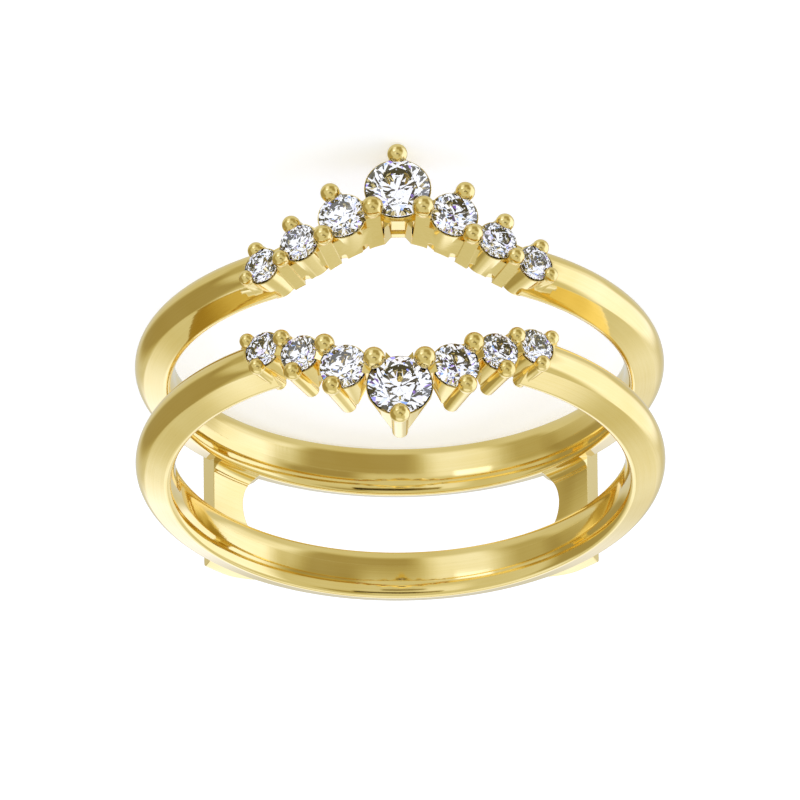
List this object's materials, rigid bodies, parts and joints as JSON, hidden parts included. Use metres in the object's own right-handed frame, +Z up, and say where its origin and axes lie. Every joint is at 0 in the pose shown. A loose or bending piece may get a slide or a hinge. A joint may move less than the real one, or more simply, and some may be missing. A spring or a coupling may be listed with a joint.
{
  "type": "ring guard enhancer",
  "caption": "Open-centre gold ring guard: two slim bands joined by bars at the back, topped by opposed chevrons of graduated round brilliants that frame another ring.",
  "frame": {"origin": "on the ground, under the middle of the part's box", "axes": "+Z up from the ground; the ring lies on its side, so the finger hole's axis is +Z leaned 8.2 degrees toward +Y; the stones face -Y; the two chevrons point up and down"},
  "size_m": [0.0204, 0.022, 0.0119],
  "materials": {
    "gold": "mirror-polished yellow gold",
    "diamond": "faceted and polished"
  },
  "bodies": {
    "root": {"gold_mount": "gold", "front_diamond_1": "diamond", "front_diamond_2": "diamond", "front_diamond_3": "diamond", "front_diamond_4": "diamond", "front_diamond_5": "diamond", "front_diamond_6": "diamond", "front_diamond_7": "diamond", "back_diamond_1": "diamond", "back_diamond_2": "diamond", "back_diamond_3": "diamond", "back_diamond_4": "diamond", "back_diamond_5": "diamond", "back_diamond_6": "diamond", "back_diamond_7": "diamond"}
  },
  "joints": []
}
